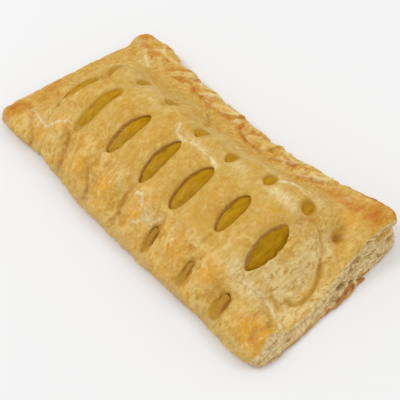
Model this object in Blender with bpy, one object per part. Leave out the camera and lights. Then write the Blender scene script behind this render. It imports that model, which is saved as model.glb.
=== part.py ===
"""Pineapple pie: a puff pastry turnover, slit across the top, with its filling.

One sheet of puff pastry is folded over a mound of pineapple filling.  The fold is
the long side at -Y.  The other three sides are sealed: the long side at +Y is
crimped into petals, the far end at -X is pressed into soft humps, and the near end
at +X is cut clean, so that it rises in open layers, most of all at its +Y corner.
Seven lines of slits cross the top.  The middle slit of each line gapes over the
filling, and the outer two stay small.

Frame: +X along the length towards the cut end, +Y towards the crimped side, +Z up.
The origin is under the middle of the pastry, on the face that it rests on.
"""

import math

import bmesh
import bpy
import numpy as np
from mathutils import Matrix, Vector, noise

MM = 0.001

# Plan of the pastry
HALF_LENGTH = 65.2 * MM
HALF_WIDTH = 33.3 * MM
FAR_END_SKEW = 5.6 * MM  # the far end stands this much nearer at its +Y corner
WAIST = 3.6 * MM  # the crimped side draws in at its middle by this much
CORNER_ROUND = 1.7 * MM
CORNER_SHARPNESS = 14

# Heights
DOME_TOP = 22.8 * MM
BORDER_TOP = 5.6 * MM
SHEET = 2.5 * MM  # thickness of the baked sheet over the filling
FLOOR = 2.8 * MM  # thickness of the baked sheet under the filling
FOOT_INSET = 2.6 * MM  # the part that rests on the plate is this much smaller all round
OPEN_CORNER_RISE = 9.0 * MM  # how far the layers open at the near +Y corner

# Footprint of the dome: where each flank starts and ends
FOLD_FLANK = (-35.0 * MM, -21.5 * MM)
FOLD_SHOULDER = (-30.0 * MM, -6.0 * MM)
FOLD_FLANK_SHARE = 0.45
CRIMP_FLANK = (2.5 * MM, 24.5 * MM)
CRIMP_FLANK_SPREAD = 7.0 * MM  # the dome is this much broader towards the near end
FAR_FLANK = (-58.0 * MM, -41.0 * MM)
NEAR_FLANK = (42.0 * MM, 60.0 * MM)

# Slits: one line every pitch, with a middle slit and two outer ones on each line
SLIT_PITCH = 15.2 * MM
FIRST_LINE_X = -45.2 * MM
MIDDLE_Y = [-11.6 * MM, -12.2 * MM, -12.2 * MM, -12.0 * MM, -9.4 * MM, -9.4 * MM]
MIDDLE_HALF_LENGTH = 9.8 * MM
MIDDLE_WIDTHS = [4.2 * MM, 5.8 * MM, 5.4 * MM, 5.6 * MM, 5.6 * MM, 7.2 * MM]
CRIMP_SIDE_DRIFT = [0.5 * MM, -2.0 * MM, 0.8 * MM, 0.0, -0.8 * MM, -1.5 * MM]
CRIMP_SIDE_Y = [6.8 * MM, 8.4 * MM, 5.8 * MM, 5.4 * MM, 7.9 * MM, 9.4 * MM]
CRIMP_SIDE_WIDTHS = [1.6 * MM, 1.4 * MM, 3.0 * MM, 2.6 * MM, 2.6 * MM, 3.5 * MM]
FOLD_SIDE_Y = -28.6 * MM
FOLD_SIDE_WIDTHS = [3.4 * MM, 2.8 * MM, 3.8 * MM]

# Pocket that the filling lies in
POCKET_X = (-53.5 * MM, 53.5 * MM)
POCKET_Y = (-30.6 * MM, 18.4 * MM)
POCKET_ROUND = 0.55
POCKET_EDGE = 1.3 * MM  # height of the pocket at its rim
FILLING_GAP = 0.35 * MM

# Crimped side and far end
PETAL_PITCH = 12.2 * MM
PETAL_SLANT = 1.9  # millimetres along X for each millimetre along Y
PETAL_HEIGHT = 1.5 * MM
FAR_HUMP_PITCH = 12.4 * MM
FAR_HUMP_HEIGHT = 0.8 * MM

# Mesh density
COLUMNS = 62
ROWS = 30
WALL_RINGS = 8
POCKET_COLUMNS = 30
POCKET_ROWS = 13
FILLING_COLUMNS = 40
FILLING_ROWS = 17
SLIT_SIDES = 8  # segments along each side of a slit
SMALLEST_EDGE = 0.04 * MM

CRUST_COLOUR = (0.70, 0.43, 0.13, 1.0)
FILLING_COLOUR = (0.52, 0.34, 0.02, 1.0)


def smooth(start, end, value):
    """0 before start, 1 after end, and a smooth step between them."""
    t = np.clip((value - start) / (end - start), 0.0, 1.0)
    return t * t * (3.0 - 2.0 * t)


def mound(x, y, centre_x, centre_y, radius_x, radius_y):
    """1 at the centre, falling off smoothly over the two radii."""
    return np.exp(-(((x - centre_x) / radius_x) ** 2) - ((y - centre_y) / radius_y) ** 2)


def uneven(x, y, scale, seed):
    """Smooth noise from about -1 to 1 with features of the given size."""
    flat_x, flat_y = np.broadcast_arrays(np.asarray(x, float), np.asarray(y, float))
    points = zip(flat_x.ravel(), flat_y.ravel())
    values = [noise.noise(Vector((px / scale, py / scale, seed))) for px, py in points]
    return np.array(values).reshape(flat_x.shape) * 1.8


def along_line(x, y, points, width):
    """1 on a line through the points, falling off smoothly over the width."""
    nearest = np.full(np.shape(x), np.inf)
    for (ax, ay), (bx, by) in zip(points, points[1:]):
        length_squared = (bx - ax) ** 2 + (by - ay) ** 2
        t = np.clip(((x - ax) * (bx - ax) + (y - ay) * (by - ay)) / length_squared, 0.0, 1.0)
        distance = np.hypot(x - ax - t * (bx - ax), y - ay - t * (by - ay))
        nearest = np.minimum(nearest, distance)
    return np.exp(-((nearest / width) ** 2))


def border_height(x, y):
    """Top of the sealed border, which opens up towards the near +Y corner."""
    far = 1.2 * MM * smooth(-50 * MM, -62 * MM, x)
    crimped = 1.2 * MM * smooth(23 * MM, 31 * MM, y)
    opened = OPEN_CORNER_RISE * smooth(-8 * MM, 30 * MM, y) * smooth(26 * MM, 62 * MM, x)
    return BORDER_TOP + far + crimped + opened


def dome_share(x, y, inset=0.0):
    """How far up the dome a point is, from 0 on the border to 1 on the crown."""
    flank = smooth(FOLD_FLANK[0] + inset, FOLD_FLANK[1] + inset, y)
    shoulder = smooth(FOLD_SHOULDER[0] + inset, FOLD_SHOULDER[1], y)
    fold_side = FOLD_FLANK_SHARE * flank + (1.0 - FOLD_FLANK_SHARE) * shoulder
    broader = CRIMP_FLANK_SPREAD * smooth(5 * MM, 45 * MM, x)
    crimp_side = 1.0 - smooth(CRIMP_FLANK[0] + broader - inset, CRIMP_FLANK[1] + 0.3 * broader - inset, y)
    far = smooth(FAR_FLANK[0] + inset, FAR_FLANK[1] + inset, x)
    near = 1.0 - smooth(NEAR_FLANK[0] - inset, NEAR_FLANK[1] - inset, x)
    return fold_side * crimp_side * far * near


def dome_height(x, y, inset=0.0):
    border = border_height(x, y)
    return border + (DOME_TOP - border) * dome_share(x, y, inset)


def pillows(x, y):
    """The dough swells between the lines of slits, most of all down the fold side."""
    phase = np.cos(2.0 * math.pi * (x - FIRST_LINE_X) / SLIT_PITCH)
    down_fold = smooth(-17 * MM, -27 * MM, y) * smooth(-34 * MM, -30 * MM, y)
    inside = smooth(-56 * MM, -48 * MM, x) * smooth(62 * MM, 54 * MM, x)
    on_top = smooth(-24 * MM, -16 * MM, y) * smooth(16 * MM, 8 * MM, y)
    return -phase * inside * (1.5 * MM * down_fold + 0.45 * MM * on_top)


def petals(x, y):
    """Overlapping petals pressed along the +Y side, each ending at a notch in the edge."""
    start = 21.0 * MM
    edge = 30.0 * MM
    along = (x - PETAL_SLANT * (y - edge)) / PETAL_PITCH
    share = along - np.floor(along)
    rise = smooth(0.0, 0.7, share) * smooth(1.0, 0.82, share)
    on_border = smooth(start, 26 * MM, y) * smooth(-60 * MM, -50 * MM, x)
    on_border = on_border * smooth(56 * MM, 44 * MM, x)
    return on_border * PETAL_HEIGHT * (rise - 0.45)


def far_humps(x, y):
    """Soft humps along the far end."""
    on_end = smooth(-51 * MM, -59 * MM, x)
    wave = np.cos(2.0 * math.pi * (y - 4.5 * MM) / FAR_HUMP_PITCH)
    return FAR_HUMP_HEIGHT * on_end * wave * smooth(34 * MM, 26 * MM, y)


def corners_and_folds(x, y):
    """Pinched corners, the folds round the dome and the tears in the top."""
    height = 0.8 * MM * mound(x, y, -59 * MM, 29 * MM, 7 * MM, 5 * MM)
    height = height - 0.9 * MM * mound(x, y, -53 * MM, 22 * MM, 5 * MM, 4 * MM)
    height = height + 1.8 * MM * mound(x, y, -57 * MM, -26 * MM, 6 * MM, 4 * MM)
    pinch = [(-60 * MM, -22 * MM), (-52 * MM, -24 * MM), (-42 * MM, -25 * MM)]
    height = height - 1.2 * MM * along_line(x, y, pinch, 1.8 * MM)
    crease = [(-46 * MM, -22 * MM), (-41 * MM, -16 * MM), (-39.5 * MM, 0.0), (-42 * MM, 10 * MM)]
    height = height - 1.5 * MM * along_line(x, y, crease, 1.6 * MM)
    # crescent: a double fold where the dome meets the near end
    crescent = [(46 * MM, 12 * MM), (52 * MM, 10 * MM), (56.5 * MM, 2 * MM), (58 * MM, -8 * MM)]
    height = height - 1.1 * MM * along_line(x, y, crescent, 2.3 * MM)
    roll = [(51 * MM, 14.5 * MM), (57 * MM, 10 * MM), (60.4 * MM, 2 * MM), (61 * MM, -7 * MM)]
    height = height + 0.9 * MM * along_line(x, y, roll, 2.3 * MM)
    # bulge at the near fold corner, with the tear that parts it from the dome
    height = height + 2.6 * MM * mound(x, y, 57 * MM, -25 * MM, 7 * MM, 5 * MM)
    tear = [(46 * MM, -19.5 * MM), (53 * MM, -17.5 * MM), (63 * MM, -18 * MM)]
    height = height - 1.1 * MM * along_line(x, y, tear, 1.5 * MM)
    cracks = [(1 * MM, -3 * MM), (5 * MM, -0.6 * MM), (14 * MM, 0.4 * MM)]
    return height + 0.7 * MM * along_line(x, y, cracks, 1.2 * MM)


def slits():
    """Every slit as (x, y, half length, width)."""
    found = []
    for n, (y, width) in enumerate(zip(MIDDLE_Y, MIDDLE_WIDTHS)):
        x = FIRST_LINE_X + (n + 1) * SLIT_PITCH
        longest = MIDDLE_HALF_LENGTH if n != 4 else 0.82 * MIDDLE_HALF_LENGTH
        found.append((x, y, longest, width))
    found.append((-39.6 * MM, -10.8 * MM, 6.4 * MM, 1.5 * MM))
    for n, (drift, y) in enumerate(zip(CRIMP_SIDE_DRIFT, CRIMP_SIDE_Y)):
        x = FIRST_LINE_X + (n + 1) * SLIT_PITCH + drift
        found.append((x, y, 2.6 * MM, CRIMP_SIDE_WIDTHS[n]))
    for n, width in enumerate(FOLD_SIDE_WIDTHS):
        x = FIRST_LINE_X + (n + 4) * SLIT_PITCH - 1.4 * MM * (n == 0)
        found.append((x, FOLD_SIDE_Y, 3.8 * MM, width))
    return found


def dents(x, y):
    """The dough sinks round each slit, and where a slit has closed up in the oven."""
    height = np.zeros(np.shape(x))
    for slit_x, slit_y, half, width in slits():
        height = height - 0.9 * MM * mound(x, y, slit_x, slit_y, width, half + 0.8 * MM)
    closed = [(54 * MM, 13.4 * MM), (-43 * MM, 8 * MM)]
    closed += [(FIRST_LINE_X + n * SLIT_PITCH, FOLD_SIDE_Y) for n in range(4)]
    for closed_x, closed_y in closed:
        height = height - 1.5 * MM * mound(x, y, closed_x, closed_y, 2.2 * MM, 3.4 * MM)
    return height


def top_height(x, y):
    shape = dome_height(x, y) + pillows(x, y) + petals(x, y) + far_humps(x, y)
    shape = shape + corners_and_folds(x, y) + dents(x, y)
    return shape + 0.45 * MM * uneven(x, y, 11 * MM, 3.7)


def plan(u, v):
    """Place in plan of grid point (u, v), each from -1 to 1."""
    corner = (np.abs(u) * np.abs(v)) ** CORNER_SHARPNESS
    x = HALF_LENGTH * u - np.sign(u) * CORNER_ROUND * corner
    y = HALF_WIDTH * v - np.sign(v) * CORNER_ROUND * corner
    x = x + FAR_END_SKEW * (0.5 + 0.5 * v) * smooth(-0.55, -1.0, u)
    opened = 1.0 * MM + 2.4 * MM * mound(v, 0.0, 0.45, 0.0, 0.34, 1.0)
    x = x - opened * smooth(0.6, 1.0, u)
    y = y - WAIST * smooth(0.5, 1.0, v) * (1.0 - u * u) ** 0.8
    broad = 1.6 * MM * mound(u, 0.0, -0.78, 0.0, 0.2, 1.0)
    y = y + broad * smooth(0.5, 1.0, v)
    at_crimps = smooth(0.8, 1.0, v)
    scallop = -np.cos(2.0 * math.pi * x / PETAL_PITCH)
    y = y + 0.9 * MM * at_crimps * scallop * smooth(0.92, 0.72, np.abs(u))
    at_far_end = smooth(-0.85, -1.0, u)
    x = x - 0.9 * MM * at_far_end * np.cos(2.0 * math.pi * (y - 4.5 * MM) / FAR_HUMP_PITCH)
    at_fold = smooth(-0.85, -1.0, v)
    drawn_in = 1.5 * MM * smooth(-14 * MM, -32 * MM, x) + 0.9 * MM * mound(x, 0, -43 * MM, 0, 6 * MM, 1)
    y = y + at_fold * drawn_in
    return x, y


def rim_order():
    """Grid points round the outside of the top, anticlockwise seen from above."""
    near_fold = [(i, 0) for i in range(COLUMNS)]
    near_end = [(COLUMNS, j) for j in range(ROWS)]
    crimped = [(i, ROWS) for i in range(COLUMNS, 0, -1)]
    far_end = [(0, j) for j in range(ROWS, 0, -1)]
    return near_fold + near_end + crimped + far_end


def outward(ring):
    """Unit normals in plan that point out of a closed anticlockwise ring."""
    tangent = np.roll(ring, -2, axis=0) - np.roll(ring, 2, axis=0)
    normal = np.stack([tangent[:, 1], -tangent[:, 0]], axis=1)
    return normal / np.linalg.norm(normal, axis=1)[:, None]


def wall_bulge(share, ring, normal):
    """How far the side stands out at a share of the way down from the rim."""
    x, y = ring[:, 0], ring[:, 1]
    fold = smooth(0.35, 0.8, -normal[:, 1])
    near = smooth(0.5, 0.85, normal[:, 0]) * (1.0 - fold)
    sealed = np.clip(1.0 - fold - near, 0.0, 1.0)
    arch = 1.0 - (2.0 * share - 1.0) ** 4
    folded = 2.0 * MM * math.sin(math.pi * share) ** 0.7 - 0.7 * MM * share
    # the open end splays outwards in layers, and parts most at the +Y corner
    gap = 3.1 * MM + 1.5 * MM * mound(y, 0.0, 14 * MM, 0.0, 9 * MM, 1.0)
    splay = gap * share + 0.3 * MM * arch
    layers = 0.35 * MM * np.sin(2.0 * math.pi * (4.0 * share + 0.12 * np.sin(y / (4 * MM))))
    notch_depth = (0.8 * MM + 3.2 * MM * smooth(14 * MM, 29 * MM, y)) * smooth(-26 * MM, -12 * MM, y)
    notch = notch_depth * math.exp(-(((share - 0.36) / 0.1) ** 2))
    flake = 1.6 * MM * smooth(0.78, 0.95, share) * np.exp(-(((y - 4 * MM) / (6 * MM)) ** 4))
    opened = splay + layers - notch + flake
    seam = 1.0 * MM * math.exp(-(((share - 0.55) / 0.13) ** 2))
    pressed = 0.8 * MM * arch - seam - 0.4 * MM * share
    return fold * folded + near * opened + sealed * pressed


def underside_lift(x, y):
    """The baked edge curls up a little from the tray, more at the corners."""
    corner = (np.abs(x) / HALF_LENGTH) ** 6 * (np.abs(y) / HALF_WIDTH) ** 4
    return 0.15 * MM + 1.1 * MM * np.clip(corner, 0.0, 1.0)


def crust_shell():
    """Vertices and faces of the pastry's outside, as one closed shell."""
    u, v = np.meshgrid(np.linspace(-1, 1, COLUMNS + 1), np.linspace(-1, 1, ROWS + 1), indexing="ij")
    x, y = plan(u, v)
    z = top_height(x, y)
    edge = np.maximum(np.abs(u), np.abs(v))
    z = z - 0.9 * MM * smooth(0.95, 1.0, edge)
    verts = list(zip(x.ravel(), y.ravel(), z.ravel()))

    def index(i, j):
        return i * (ROWS + 1) + j

    faces = []
    for i in range(COLUMNS):
        for j in range(ROWS):
            faces.append((index(i, j), index(i + 1, j), index(i + 1, j + 1), index(i, j + 1)))

    order = rim_order()
    above = [index(i, j) for i, j in order]
    ring = np.array([(x[i, j], y[i, j]) for i, j in order])
    rim_z = np.array([z[i, j] for i, j in order])
    normal = outward(ring)
    for step in range(1, WALL_RINGS + 1):
        share = step / WALL_RINGS
        place = ring + normal * wall_bulge(share, ring, normal)[:, None]
        low = underside_lift(place[:, 0], place[:, 1])
        height = rim_z + (low - rim_z) * share
        first = len(verts)
        verts += [(px, py, pz) for (px, py), pz in zip(place, height)]
        below = list(range(first, first + len(order)))
        faces += band(above, below)
        above = below
    foot = place * (1.0 - FOOT_INSET / np.array([HALF_LENGTH, HALF_WIDTH]))
    first = len(verts)
    verts += [(px, py, 0.0) for px, py in foot]
    resting = list(range(first, first + len(order)))
    faces += band(above, resting)
    middle = len(verts)
    verts.append((0.0, 0.0, 0.0))
    faces += [(b, a, middle) for a, b in zip(resting, resting[1:] + resting[:1])]
    return verts, faces


def band(above, below):
    """Quads between two rings of the same length, facing outwards."""
    count = len(above)
    return [(above[k], below[k], below[(k + 1) % count], above[(k + 1) % count]) for k in range(count)]


def pocket_shell(columns, rows, gap, lumps):
    """The space under the dome, smaller all round by the gap, as one closed shell."""
    u, v = np.meshgrid(np.linspace(-1, 1, columns + 1), np.linspace(-1, 1, rows + 1), indexing="ij")
    half_x = (POCKET_X[1] - POCKET_X[0]) / 2 - gap
    half_y = (POCKET_Y[1] - POCKET_Y[0]) / 2 - gap
    x = sum(POCKET_X) / 2 + half_x * u * np.sqrt(1.0 - POCKET_ROUND * v * v / 2)
    y = sum(POCKET_Y) / 2 + half_y * v * np.sqrt(1.0 - POCKET_ROUND * u * u / 2)
    roof = dome_height(x, y, 0.5 * SHEET) - SHEET - 2.0 * gap
    rim = FLOOR + POCKET_EDGE - gap
    z = np.maximum(roof, rim)
    if lumps:
        z = z - lumps * (0.5 + 0.5 * uneven(x, y, 4.2 * MM, 8.1)) * smooth(rim, rim + 3 * MM, z)
    verts = list(zip(x.ravel(), y.ravel(), z.ravel()))

    def index(i, j):
        return i * (rows + 1) + j

    faces = []
    for i in range(columns):
        for j in range(rows):
            faces.append((index(i, j), index(i + 1, j), index(i + 1, j + 1), index(i, j + 1)))
    order = [(i, 0) for i in range(columns)] + [(columns, j) for j in range(rows)]
    order += [(i, rows) for i in range(columns, 0, -1)] + [(0, j) for j in range(rows, 0, -1)]
    above = [index(i, j) for i, j in order]
    first = len(verts)
    verts += [(x[i, j], y[i, j], FLOOR + gap) for i, j in order]
    below = list(range(first, first + len(order)))
    faces += band(above, below)
    faces.append(tuple(reversed(below)))
    return verts, faces


def slit_outline(half_length, width):
    """A long lens with pointed ends, anticlockwise, in its own X and Y."""
    side = []
    for k in range(SLIT_SIDES + 1):
        y = -half_length * math.cos(math.pi * k / SLIT_SIDES)
        side.append((0.5 * width * (1.0 - abs(y / half_length) ** 1.9) ** 0.85, y))
    other = [(-x, y) for x, y in reversed(side[1:-1])]
    return side + other


def new_object(name, verts, faces, collection):
    mesh = bpy.data.meshes.new(name)
    mesh.from_pydata(verts, [], faces)
    mesh.validate()
    mesh.update()
    made = bpy.data.objects.new(name, mesh)
    collection.objects.link(made)
    return made


def slit_cutter(number, slit, collection):
    """A lens-shaped punch, square to the dough where the slit is."""
    x, y, half_length, width = slit
    height = float(dome_height(x, y))
    reach_up, reach_down = 5.0 * MM, min(8.0 * MM, 0.5 * height)
    step = 1.5 * MM
    slope = float(dome_height(x, y + step) - dome_height(x, y - step)) / (2 * step)
    outline = slit_outline(half_length, width)
    taper = 0.95  # the slit narrows a little towards the filling
    low = [(px * taper, py, -reach_down) for px, py in outline]
    high = [(px * (2 - taper), py * 1.02, reach_up) for px, py in outline]
    count = len(outline)
    faces = [tuple(reversed(range(count))), tuple(range(count, 2 * count))]
    faces += [(k, (k + 1) % count, count + (k + 1) % count, count + k) for k in range(count)]
    cutter = new_object(f"slit_cutter_{number:02d}", low + high, faces, collection)
    cutter.location = (x, y, height)
    cutter.rotation_euler = (math.atan(slope), 0.0, 0.0)
    hide(cutter)
    return cutter


def hide(cutter):
    cutter.hide_render = True
    cutter.display_type = "WIRE"


def material(name, colour, roughness):
    made = bpy.data.materials.new(name)
    made.use_nodes = True
    shader = made.node_tree.nodes["Principled BSDF"]
    shader.inputs["Base Color"].default_value = colour
    shader.inputs["Roughness"].default_value = roughness
    return made


def centre(objects):
    """Puts the origin under the middle of the pastry's box."""
    crust = objects[0]
    places = np.array([vertex.co for vertex in crust.data.vertices])
    middle = (places.min(axis=0) + places.max(axis=0)) / 2
    shift = Matrix.Translation((-middle[0], -middle[1], 0.0))
    for made in objects:
        if made.location.length > 0:
            made.location = shift @ made.location
        else:
            made.data.transform(shift)


def main():
    for old in list(bpy.data.objects):
        bpy.data.objects.remove(old, do_unlink=True)
    scene = bpy.context.scene.collection
    cutters = bpy.data.collections.new("cutters")
    scene.children.link(cutters)

    verts, faces = crust_shell()
    crust = new_object("pastry_crust", verts, faces, scene)
    crust.data.materials.append(material("baked_pastry", CRUST_COLOUR, 0.5))

    verts, faces = pocket_shell(FILLING_COLUMNS, FILLING_ROWS, FILLING_GAP, 0.5 * MM)
    filling = new_object("pineapple_filling", verts, faces, scene)
    filling.data.materials.append(material("pineapple_jam", FILLING_COLOUR, 0.25))

    verts, faces = pocket_shell(POCKET_COLUMNS, POCKET_ROWS, 0.0, 0.0)
    pocket = new_object("pocket_cutter", verts, faces, cutters)
    hide(pocket)
    punches = [slit_cutter(n, slit, cutters) for n, slit in enumerate(slits())]
    centre([crust, filling, pocket, *punches])

    carve = crust.modifiers.new("pocket and slits", "BOOLEAN")
    carve.operation = "DIFFERENCE"
    carve.operand_type = "COLLECTION"
    carve.collection = cutters
    tidy = crust.modifiers.new("merge the smallest edges", "WELD")
    tidy.merge_threshold = SMALLEST_EDGE
    for made in (crust, filling):
        made.data.shade_smooth()
        made.data.set_sharp_from_angle(angle=math.radians(50))


main()
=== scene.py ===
# %% [markdown]
# # A pineapple pie, from a plain solid to something you could eat
#
# This lesson dresses a small fold-over pie made of puff pastry. The model starts as two
# plain solids: the crust, with slits cut through its top, and the filling inside it. They fix the
# size and the place of everything. What follows gives the crust its blisters, cracks, crimps and
# open layers, gives the filling its shreds and gloss, and then mixes a material for each.

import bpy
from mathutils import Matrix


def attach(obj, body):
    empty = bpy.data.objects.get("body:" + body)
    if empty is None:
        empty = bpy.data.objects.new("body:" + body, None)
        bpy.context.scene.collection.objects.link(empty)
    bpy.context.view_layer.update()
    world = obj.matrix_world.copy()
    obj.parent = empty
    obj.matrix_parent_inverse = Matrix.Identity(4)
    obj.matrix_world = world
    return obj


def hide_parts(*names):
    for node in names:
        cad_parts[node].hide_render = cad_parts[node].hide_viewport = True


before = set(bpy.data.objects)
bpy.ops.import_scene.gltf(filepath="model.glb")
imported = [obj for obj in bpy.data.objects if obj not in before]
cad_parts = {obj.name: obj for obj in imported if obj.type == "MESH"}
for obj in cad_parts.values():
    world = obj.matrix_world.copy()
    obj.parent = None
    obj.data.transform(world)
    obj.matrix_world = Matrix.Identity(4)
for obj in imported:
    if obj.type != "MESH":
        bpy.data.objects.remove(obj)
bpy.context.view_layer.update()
print("nodes:", sorted(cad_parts))

# %% [markdown]
# ## Names for the sizes
#
# Pastry is measured in millimetres and Blender in metres, so every size below is written in
# millimetres and multiplied by MM once. The plan of the pie was drawn from a point a little to one
# side of its middle. PLAN_MIDDLE is the way back to that point, so that a slit or a fold can be
# named by its place on the plan.

# %% Units and the plan
import math
from types import SimpleNamespace
from typing import NamedTuple

import bpy
import numpy as np
from mathutils import Matrix, Vector, noise
from mathutils.bvhtree import BVHTree

MM = 0.001
PLAN_MIDDLE = np.array([1.48, -0.55, 0])  # millimetres
print("plan middle, mm:", PLAN_MIDDLE.tolist(), "quick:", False)

# %% [markdown]
# ## The camera
#
# The pie is seen from above its near corner, with a fairly long lens, so that its long sides stay
# almost parallel. Azimuth and elevation say where the camera stands, as for a sun in the sky. The
# same helper will place the lamps.

# %% Place the camera
CAMERA_AZIMUTH, CAMERA_ELEVATION = 47.26, 53.99  # degrees
CAMERA_DISTANCE = 267.87 * MM
CAMERA_LENS = 71.48  # millimetres, on a 36 mm sensor
CAMERA_AIM = Vector((7.93, -2.36, 0)) * MM


def towards(azimuth, elevation):
    """The direction to a place in the sky."""
    a, e = math.radians(azimuth), math.radians(elevation)
    return Vector((math.sin(a) * math.cos(e), -math.cos(a) * math.cos(e), math.sin(e)))


def look_back(thing, direction):
    """Turns a camera or lamp that stands in this direction to face the pie."""
    thing.rotation_euler = direction.to_track_quat("Z", "Y").to_euler()


towards_camera = towards(CAMERA_AZIMUTH, CAMERA_ELEVATION)
bpy.ops.object.camera_add(location=CAMERA_AIM + CAMERA_DISTANCE * towards_camera)
camera = bpy.context.object
camera.name = "camera"
look_back(camera, towards_camera)
camera.data.sensor_width = 36
camera.data.lens = CAMERA_LENS
camera.data.clip_start = 0.01
bpy.context.scene.camera = camera
print("camera at, mm:", [round(1000 * v) for v in camera.location])

# %% [markdown]
# ## Picking objects by hand, in code
#
# Operators act on whatever is selected, so each one is preceded by a clean selection. These
# helpers select one object, finish a modifier as the Apply button does, and copy a solid.

# %% Selection and modifiers
SAME_POINT = 0.005 * MM  # corners closer than this are one


def only(piece):
    """Selects this object and nothing else."""
    if bpy.context.mode != "OBJECT":
        bpy.ops.object.mode_set(mode="OBJECT")
    bpy.ops.object.select_all(action="DESELECT")
    piece.select_set(True)
    bpy.context.view_layer.objects.active = piece


def apply_modifier(piece, kind, **settings):
    """Adds a modifier with these settings and applies it."""
    only(piece)
    bpy.ops.object.modifier_add(type=kind)
    modifier = piece.modifiers[-1]
    for name, value in settings.items():
        setattr(modifier, name, value)
    bpy.ops.object.modifier_apply(modifier=modifier.name)


def copy_of(node, name):
    """A free copy of a solid, with the corners of its triangles merged."""
    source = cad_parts[node]
    piece = bpy.data.objects.new(name, source.data.copy())
    bpy.context.scene.collection.objects.link(piece)
    piece.data.materials.clear()
    only(piece)
    bpy.ops.object.mode_set(mode="EDIT")
    bpy.ops.mesh.select_all(action="SELECT")
    bpy.ops.mesh.remove_doubles(threshold=SAME_POINT)
    bpy.ops.object.mode_set(mode="OBJECT")
    return piece


def triangles_of(piece):
    piece.data.calc_loop_triangles()
    return len(piece.data.loop_triangles)


print("helpers ready")

# %% [markdown]
# ## Fields over the pastry
#
# Nothing about baked dough is regular, and no primitive comes near it. So its fine shape is worked
# out as a field: a number for each point of the mesh that says how far the point moves along its
# normal. Fields are built from a few simple ones: a smooth step, a bell, a mound, a line drawn
# across the plan, and noise.

# %% Building blocks for fields
def points_of(piece):
    """The mesh's points on the plan, in millimetres."""
    flat = np.empty(3 * len(piece.data.vertices))
    piece.data.vertices.foreach_get("co", flat)
    return flat.reshape(-1, 3) / MM + PLAN_MIDDLE


def normals_of(piece):
    flat = np.empty(3 * len(piece.data.vertices))
    piece.data.vertex_normals.foreach_get("vector", flat)
    return flat.reshape(-1, 3)


def move_points(piece, points):
    """Writes points on the plan, in millimetres, back to the mesh."""
    piece.data.vertices.foreach_set("co", ((points - PLAN_MIDDLE) * MM).ravel())
    piece.data.update()


def step(start, end, value):
    """0 before start, 1 after end, and smooth between."""
    t = np.clip((value - start) / (end - start), 0, 1)
    return t * t * (3 - 2 * t)


def bell(value, middle, radius):
    """1 at the middle, falling off over the radius to both sides."""
    return np.exp(-(((value - middle) / radius) ** 2))


def mound(p, x, y, radius_x, radius_y):
    """1 at the place, falling off over the radii."""
    return np.exp(-(((p[:, 0] - x) / radius_x) ** 2) - ((p[:, 1] - y) / radius_y) ** 2)


def distance_to_line(p, line):
    """Distance on the plan to a line through the places."""
    nearest = np.full(len(p), 1e9)
    for (ax, ay), (bx, by) in zip(line, line[1:]):
        run_x, run_y = bx - ax, by - ay
        off_x, off_y = p[:, 0] - ax, p[:, 1] - ay
        t = np.clip((off_x * run_x + off_y * run_y) / (run_x**2 + run_y**2), 0, 1)
        nearest = np.minimum(nearest, np.hypot(off_x - t * run_x, off_y - t * run_y))
    return nearest


def noise_at(p, size, seed=0, stretch=(1, 1, 1)):
    """Smooth noise from about -1 to 1, with lumps of the given size in millimetres."""
    scaled = p / (size * np.array(stretch)) + seed
    return np.array([noise.noise(Vector(place)) for place in scaled.tolist()])


def ridges_at(p, size, seed=0, stretch=(1, 1, 1)):
    """Thin ridges that wander like wrinkles: 1 on a ridge, near 0 between."""
    return np.clip(1 - np.abs(noise_at(p, size, seed, stretch)) * 4, 0, 1)


print("fields ready")

# %% [markdown]
# ## Where the slits are
#
# Each slit is a long lens on the plan. As the dough bakes, the lips puff towards each other, so the
# baked slit is narrower than the cut one and blunter at its ends. The two outlines are kept side
# by side: what was cut, and what it bakes to. The distance to a baked slit's edge is needed again
# later, to colour the lips and the moist walls.

# %% Slits as they were cut and as they baked
class Slit(NamedTuple):
    """One slit on the plan, in millimetres."""

    x: float
    y: float
    half: float  # half its length
    cut: float  # width as it was cut
    baked: float  # width as it baked
    drift_low: float = 0  # how far the end by the fold moved sideways
    drift_high: float = 0  # the same for the end by the crimps
    lean: float = 0  # how far the foot of its left wall stands out from its lip


SOFTENED = 0.35  # how far the smoothing draws each lip back
LIP_REACH, DRIFT_REACH = 2.6, 3.5  # how far a lip that moves takes the dough beside it along
WALL_DROP = 1  # how far the foot of a left wall is drawn down, into the filling
TIP_SHARPNESS = 2.5  # past a tip, distances count this much more
MIDDLE_SLITS = [
    Slit(-30, -11.6, 9.8, 4.2, 3.6, -2.4, -0.4),
    Slit(-14.8, -12.2, 9.8, 5.8, 6.8, -2.8, -0.6, 1.9),
    Slit(0.4, -12.2, 9.8, 5.4, 6.1, -1.3, -0.8, 1.4),
    Slit(15.6, -12, 9.8, 5.6, 6.7, -2, -0.9, 0.7), Slit(30.8, -9.4, 8, 5.6, 6, -0.5, -0.9, 1.6),
    Slit(46, -9.4, 9.8, 7.2, 6.6, -1, -1.6, 1.9),
]
SIDE_SLITS = [
    Slit(-39.6, -10.8, 6.4, 1.5, 1.5, -5, -0.9), Slit(-29.5, 6.8, 2.6, 1.6, 2.4),
    Slit(-16.8, 8.4, 2.6, 1.4, 1.8), Slit(1.2, 5.8, 2.6, 3, 3.3), Slit(15.6, 5.4, 2.6, 2.6, 2.9),
    Slit(30, 7.9, 2.6, 2.6, 2.9), Slit(44.5, 9.4, 2.6, 3.5, 3.5), Slit(14.2, -28.6, 3.8, 3.4, 2.7),
    Slit(30.8, -28.6, 3.8, 2.8, 2.5), Slit(46, -28.6, 3.8, 3.8, 3.4),
]
ALL_SLITS = [*MIDDLE_SLITS, *SIDE_SLITS]
FOLD_SLITS = SIDE_SLITS[-3:]  # those on the folded side
WELLED_UP = [*SIDE_SLITS, MIDDLE_SLITS[0]]  # filled with jam almost to their lips


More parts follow.
